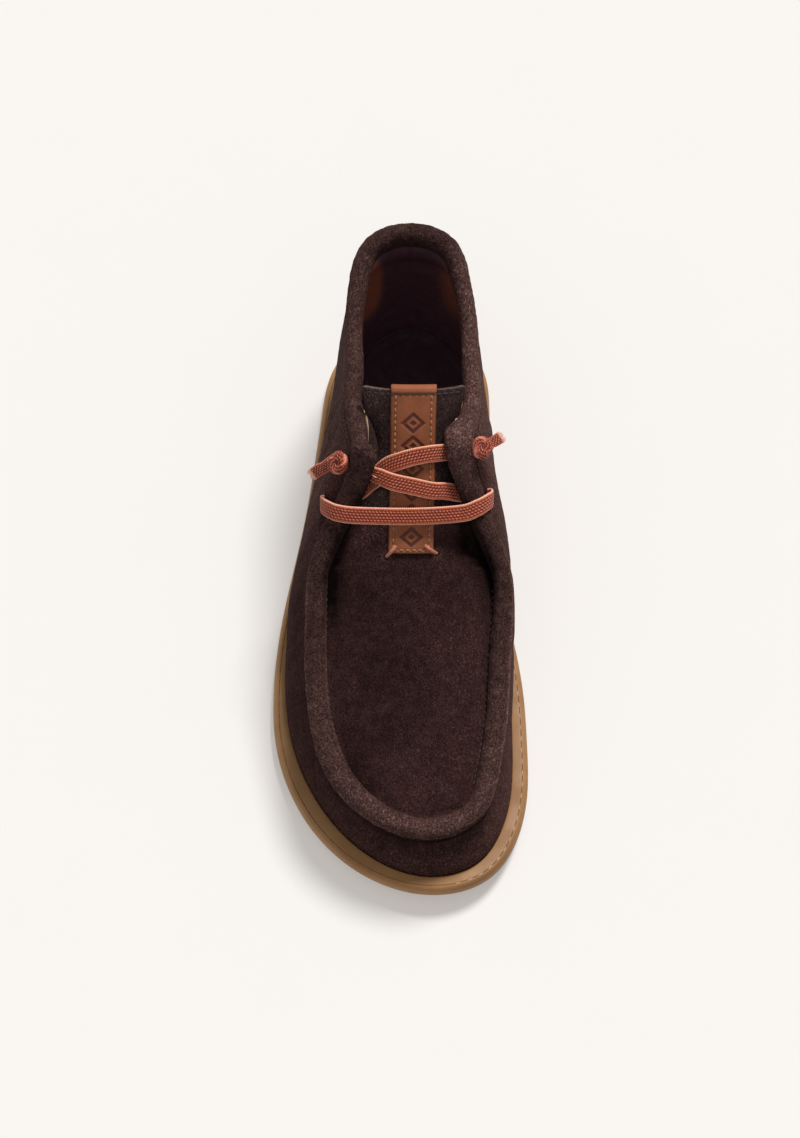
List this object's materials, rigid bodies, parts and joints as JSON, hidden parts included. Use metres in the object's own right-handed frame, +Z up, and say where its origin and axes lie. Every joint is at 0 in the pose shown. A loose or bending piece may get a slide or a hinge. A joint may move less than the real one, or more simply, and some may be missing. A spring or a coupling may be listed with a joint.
{
  "type": "moccasin boot",
  "caption": "Ankle-high suede moccasin boot with a rolled toe seam, a flat elastic lace, a tongue strip and a thin gum-rubber sole.",
  "frame": {"origin": "on the floor, under the middle of the sole's outline", "axes": "+Z up, -Y from the heel to the toe, +X to the inner (big toe) side"},
  "size_m": [0.1037, 0.2616, 0.1061],
  "materials": {
    "gum_rubber": "satin gum rubber",
    "lining_leather": "smooth lining leather",
    "suede": "brushed suede",
    "strip_leather": "smooth vegetable-tanned leather",
    "lace_weave": "flat elastic weave"
  },
  "bodies": {
    "root": {"outsole": "gum_rubber", "insole": "lining_leather", "upper": "suede", "tongue": "suede", "tongue_strip": "strip_leather", "lace_bar": "lace_weave", "lace_crossing": "lace_weave", "lace_knot_outer": "lace_weave", "lace_knot_inner": "lace_weave"}
  },
  "joints": []
}
